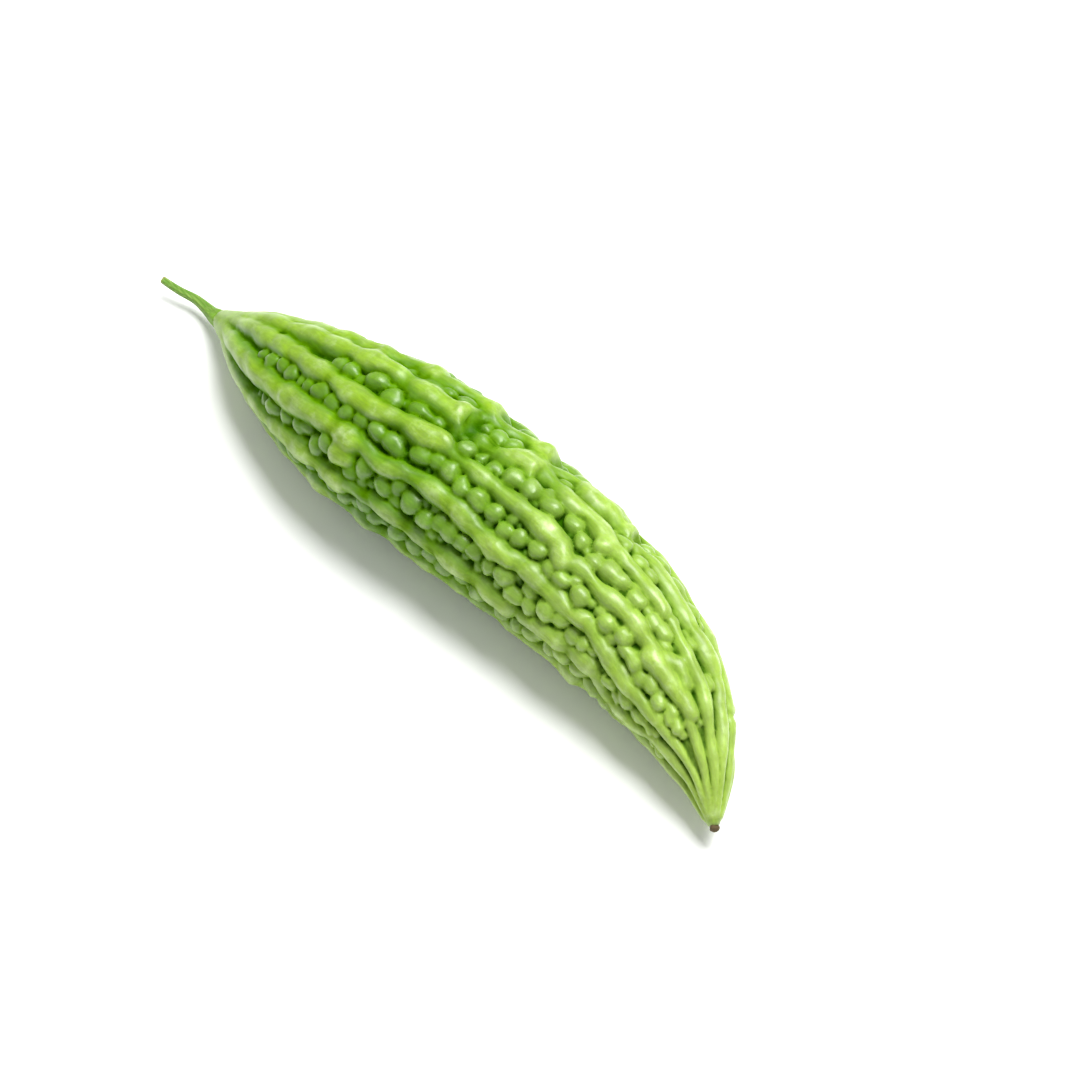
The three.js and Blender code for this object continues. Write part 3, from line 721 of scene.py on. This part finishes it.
skin_material, tree = new_material("waxy_gourd_skin")
height = node(tree, "ShaderNodeAttribute", {"attribute_name": "height"}).outputs["Fac"]
rope = node(tree, "ShaderNodeAttribute", {"attribute_name": "rope"}).outputs["Fac"]
crevice = node(tree, "ShaderNodeAttribute", {"attribute_name": "crevice"}).outputs["Fac"]
to_tip = node(tree, "ShaderNodeAttribute", {"attribute_name": "along"}).outputs["Fac"]
grown_place = node(tree, "ShaderNodeAttribute", {"attribute_name": "grown"}).outputs["Vector"]
place = node(tree, "ShaderNodeNewGeometry").outputs["Position"]
mottle = node(
    tree, "ShaderNodeTexNoise",
    Vector=place, Scale=1 / (GROWTH_MOTTLE_MM * MM), Detail=4.0, Roughness=0.6,
).outputs["Fac"]
highlight_clouds = node(
    tree, "ShaderNodeTexNoise", Vector=place, Scale=1 / (HIGHLIGHT_CLOUD_MM * MM), Detail=5.0, Roughness=0.65,
).outputs["Fac"]
grain = node(
    tree, "ShaderNodeTexNoise",
    Vector=place, Scale=1 / (SKIN_GRAIN_MM * MM), Detail=3.0, Roughness=0.6,
).outputs["Fac"]
stretched = node(
    tree, "ShaderNodeVectorMath", {"operation": "MULTIPLY"}, _0=grown_place,
    _1=(1 / FIBRE_MM[0], 1 / FIBRE_MM[1], 1 / FIBRE_MM[1]),
).outputs[0]
fibres = node(
    tree, "ShaderNodeTexNoise", Vector=stretched, Scale=1.0, Detail=3.0, Roughness=0.6,
).outputs["Fac"]
raised = smooth_range(tree, height, *RAISED)
topped = smooth_range(tree, height, *TOPPED)
# Deeper green low down and paler on the tops and rib crests: partly the skin's own tones, partly
# painted shade and painted light
colour = blend(tree, raised, linear(FURROW_GREEN_AND_SHADE), linear(SKIN_GREEN))
colour = blend(tree, topped, colour, linear(TOP_GREEN_AND_LIGHT))
colour = blend(tree, times(tree, rope, topped), colour, linear(RIB_GREEN_AND_LIGHT))
late = smooth_range(tree, to_tip, *PALER)
colour = blend(tree, times(tree, late, raised), colour, linear(TIP_GREEN))
colour = blend(tree, smooth_range(tree, to_tip, *AT_TIP), colour, linear(TIP_GREEN))
# Painted shade: the crevices are darkened to a deep green, with less of it towards the tip
painted_crease_shade = times(tree, smooth_range(tree, crevice, *SHADE_IN_CREVICE), smooth_range(tree, to_tip, *SHADE_FADE_AT_TIP))
colour = blend(tree, painted_crease_shade, colour, linear(PAINTED_CREASE_SHADE_GREEN))
# Painted highlight: a pale whitish green in clouds on the tops and crests, away from the stem
painted_highlight = times(tree, smooth_range(tree, highlight_clouds, *HIGHLIGHT_CLOUDS), topped)
painted_highlight = times(tree, painted_highlight, smooth_range(tree, crevice, *HIGHLIGHT_ON_CREST))
painted_highlight = times(tree, painted_highlight, smooth_range(tree, to_tip, *HIGHLIGHT_FROM_STEM))
colour = blend(tree, painted_highlight, colour, linear(PAINTED_HIGHLIGHT_GREEN))
shade = times(tree, smooth_range(tree, mottle, *MOTTLE), smooth_range(tree, fibres, *FIBRE_SHADE))
mottled = node(tree, "ShaderNodeHueSaturation", Color=colour, Value=shade).outputs["Color"]
wax = smooth_range(tree, crevice, *WAX)
gloss = smooth_range(tree, crevice, *GLOSS)
uneven = node(
    tree, "ShaderNodeMath", {"operation": "MULTIPLY_ADD"}, _0=fibres, _1=0.8, _2=grain,
).outputs[0]
bump = node(tree, "ShaderNodeBump", Strength=0.5, Distance=SKIN_BUMP_MM * MM, Height=uneven)
shader = node(
    tree, "ShaderNodeBsdfPrincipled",
    Base_Color=mottled, Roughness=0.48, IOR=1.42, Specular_IOR_Level=gloss,
    Subsurface_Weight=0.15, Subsurface_Radius=(0.6, 1.0, 0.1), Subsurface_Scale=0.0015,
    Coat_Weight=wax, Coat_Roughness=0.36, Normal=bump.outputs["Normal"],
)
node(tree, "ShaderNodeOutputMaterial", Surface=shader.outputs["BSDF"])
fruit.data.materials.append(skin_material)
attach(fruit, "root")
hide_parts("fruit")

# Stem
# The stalk that the gourd hung by, cut about 25 mm from the fruit. It is green, five-angled and
# fibrous, and widens into the fruit's neck.

# s, bow, height, radius, from the cut end into the fruit
STEM_ROUTE = (
    (-24.5, -4.6, 6.9, 1.15),
    (-22, -3.8, 6.3, 1.2),
    (-18, -2.5, 5.7, 1.3),
    (-12.5, -0.5, 5.3, 1.5),
    (-7.5, 0.1, 5.1, 1.85),
    (-3.5, 0.1, 5.5, 2.4),
    (-0.4, 0, 6.8, 2.95),
    (1.5, 0, 7.6, 3.1),
    (4.0, 0, 8.7, 2.6),
)
# Rings along it, points round it, and its angles with their height as a share of the radius
STEM_RINGS, STEM_SIDES, STEM_ANGLES, STEM_DEPTH = 150, 60, 5, 0.09
ROUTE_STEP = 0.01


def swept(name, route, rings, sides, angles, depth):
    """A closed skin over angled rings that follow a route of (s, bow, height, radius)."""
    table = [(i, *row) for i, row in enumerate(route)]

    def centre(u):
        return np.stack([
            along(table, 1, u) - ORIGIN_S, along(table, 2, u) - ORIGIN_BOW, along(table, 3, u),
        ], -1)

    u = np.linspace(0, len(route) - 1, rings + 1)
    tangent = centre(u + ROUTE_STEP) - centre(u - ROUTE_STEP)
    tangent /= np.linalg.norm(tangent, axis=1, keepdims=True)
    side = np.stack([-tangent[:, 1], tangent[:, 0], 0 * u], -1)
    side /= np.linalg.norm(side, axis=1, keepdims=True)
    up = np.cross(tangent, side)
    turn = 2 * math.pi * np.arange(sides) / sides
    radius = along(table, 4, u)[:, None] * (1 + depth * np.cos(angles * turn))
    points = (
        centre(u)[:, None]
        + (radius * np.cos(turn))[..., None] * side[:, None]
        + (radius * np.sin(turn))[..., None] * up[:, None]
    ).reshape(-1, 3)
    points = np.vstack([points, centre(u)[0], centre(u)[-1]])
    faces = []
    for i in range(rings):
        for j in range(sides):
            k = (j + 1) % sides
            faces.append((i * sides + j, i * sides + k, (i + 1) * sides + k, (i + 1) * sides + j))
    top = rings * sides
    for j in range(sides):
        k = (j + 1) % sides
        faces.append((len(points) - 2, k, j))
        faces.append((len(points) - 1, top + j, top + k))
    return mesh_object(name, points * MM, faces)


# Green plant stem: grown, dull, with pale fibres along it, and the cut has dried to straw
STEM_GREEN = "#5b8526"
STEM_PALE = "#83a04a"
STEM_CUT = "#a08f5c"
# Length and width of the fibres, and from and to what s the cut's colour fades and the neck's comes
# in
STEM_FIBRE_MM = (12.0, 0.45)
STEM_CUT_MM = (-24.6, -23.4)
STEM_NECK = "#6f9a1c"
STEM_NECK_MM, NECK_SHARE = (-6.0, 0.0), 0.8
STEM_BUMP_MM = 0.12
stem = swept("stem_stalk", STEM_ROUTE, STEM_RINGS, STEM_SIDES, STEM_ANGLES, STEM_DEPTH)
stem_material, tree = new_material("fibrous_green_stem")
place = node(tree, "ShaderNodeNewGeometry").outputs["Position"]
stretched = node(
    tree, "ShaderNodeVectorMath", {"operation": "MULTIPLY"}, _0=place,
    _1=(1 / (STEM_FIBRE_MM[0] * MM), 1 / (STEM_FIBRE_MM[1] * MM), 1 / (STEM_FIBRE_MM[1] * MM)),
).outputs[0]
fibre = node(tree, "ShaderNodeTexNoise", Vector=stretched, Scale=1.0, Detail=3.0).outputs["Fac"]
colour = blend(tree, smooth_range(tree, fibre, 0.35, 0.75), linear(STEM_GREEN), linear(STEM_PALE))
along_stem = node(tree, "ShaderNodeSeparateXYZ", Vector=place).outputs["X"]
cut_from, cut_to = [(s - ORIGIN_S) * MM for s in STEM_CUT_MM]
at_cut = smooth_range(tree, along_stem, cut_from, cut_to, 1.0, 0.0)
colour = blend(tree, at_cut, colour, linear(STEM_CUT))
neck_from, neck_to = [(s - ORIGIN_S) * MM for s in STEM_NECK_MM]
at_neck = smooth_range(tree, along_stem, neck_from, neck_to, 0.0, NECK_SHARE)
colour = blend(tree, at_neck, colour, linear(STEM_NECK))
bump = node(tree, "ShaderNodeBump", Strength=0.5, Distance=STEM_BUMP_MM * MM, Height=fibre)
shader = node(
    tree, "ShaderNodeBsdfPrincipled", Base_Color=colour, Roughness=0.6, Specular_IOR_Level=0.3,
    Subsurface_Weight=0.1, Subsurface_Scale=0.001, Normal=bump.outputs["Normal"],
)
node(tree, "ShaderNodeOutputMaterial", Surface=shader.outputs["BSDF"])
stem.data.materials.append(stem_material)
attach(stem, "root")
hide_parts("stem")

# Blossom end
# The rest of the flower, dried brown and shrunk to a small crumpled button on the tip.

# s, bow, height, radius, from inside the fruit outwards
BLOSSOM_ROUTE = (
    (233.8, 0.6, 9.4, 1.1),
    (235.1, -0.15, 8.95, 1.25),
    (235.6, -0.4, 8.75, 1.4),
    (236.0, -0.6, 8.6, 1.15),
    (236.4, -0.85, 8.45, 0.5),
)
BLOSSOM_RINGS, BLOSSOM_SIDES, BLOSSOM_ANGLES, BLOSSOM_DEPTH = 40, 48, 3, 0.16
blossom = swept(
    "blossom_end_dry", BLOSSOM_ROUTE, BLOSSOM_RINGS, BLOSSOM_SIDES, BLOSSOM_ANGLES, BLOSSOM_DEPTH,
)

# Dry flower tissue: dead, brown and papery, with no shine
DRY_BROWN = "#4f4024"
blossom_material, tree = new_material("dry_flower_tissue")
shader = node(tree, "ShaderNodeBsdfPrincipled", Base_Color=linear(DRY_BROWN), Roughness=0.85)
node(tree, "ShaderNodeOutputMaterial", Surface=shader.outputs["BSDF"])
blossom.data.materials.append(blossom_material)
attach(blossom, "root")
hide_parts("blossom_end")

# Floor and light
# A plain white sweep under a large soft light from above and behind, with a weaker fill from the
# front.

# Half the floor's side, in metres
FLOOR_HALF = 3.0
corners = [(x * FLOOR_HALF, y * FLOOR_HALF, 0) for x, y in ((-1, -1), (1, -1), (1, 1), (-1, 1))]
floor = mesh_object("floor", corners, [(0, 1, 2, 3)])

# White background paper: matt, and a little short of pure white
PAPER_WHITE = "#fbfbfb"
floor_material, tree = new_material("white_paper_sweep")
shader = node(tree, "ShaderNodeBsdfPrincipled", Base_Color=linear(PAPER_WHITE), Roughness=0.9)
node(tree, "ShaderNodeOutputMaterial", Surface=shader.outputs["BSDF"])
floor.data.materials.append(floor_material)


def soft_light(name, place_mm, size_mm, watts):
    """A square studio light that faces the gourd."""
    data = bpy.data.lights.new(name, "AREA")
    data.size = size_mm * MM
    data.energy = watts
    light = bpy.data.objects.new(name, data)
    light.location = Vector(place_mm) * MM
    from_gourd = light.location - Vector(TARGET_MM) * MM
    light.rotation_euler = from_gourd.to_track_quat("Z", "Y").to_euler()
    bpy.context.scene.collection.objects.link(light)


soft_light("key", place_mm=(40, 360, 970), size_mm=620, watts=18)
soft_light("fill", place_mm=(-60, -520, 520), size_mm=600, watts=0.5)

# The white walls of the studio, as an even light from all round
WALL_LIGHT = 0.46
world = bpy.data.worlds.new("studio")
world.use_nodes = True
background = world.node_tree.nodes["Background"]
background.inputs["Color"].default_value = (1, 1, 1, 1)
background.inputs["Strength"].default_value = WALL_LIGHT
bpy.context.scene.world = world
bpy.context.scene.view_settings.view_transform = "Standard"
